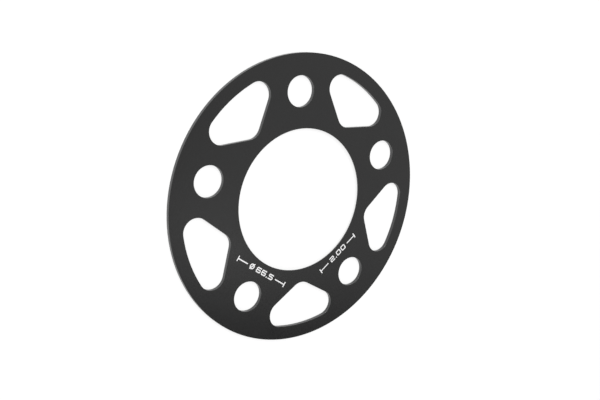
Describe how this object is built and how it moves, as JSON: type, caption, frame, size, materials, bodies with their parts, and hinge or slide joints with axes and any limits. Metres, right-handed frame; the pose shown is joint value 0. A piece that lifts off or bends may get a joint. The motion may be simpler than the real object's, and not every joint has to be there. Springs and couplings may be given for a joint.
{
  "type": "wheel spacer",
  "caption": "Thin flat black wheel spacer plate with a hub-centring bore, a ring of bolt holes and rounded-triangle lightening windows between them.",
  "frame": {"origin": "centre of the bore on the hub face, which is the face the plate lies on", "axes": "+Z along the bore axis from the hub face to the wheel face, +Y through a bolt hole"},
  "size_m": [0.134, 0.134, 0.002],
  "materials": {
    "black_anodised": "black anodised, satin"
  },
  "bodies": {
    "root": {"spacer_plate": "black_anodised"}
  },
  "joints": []
}
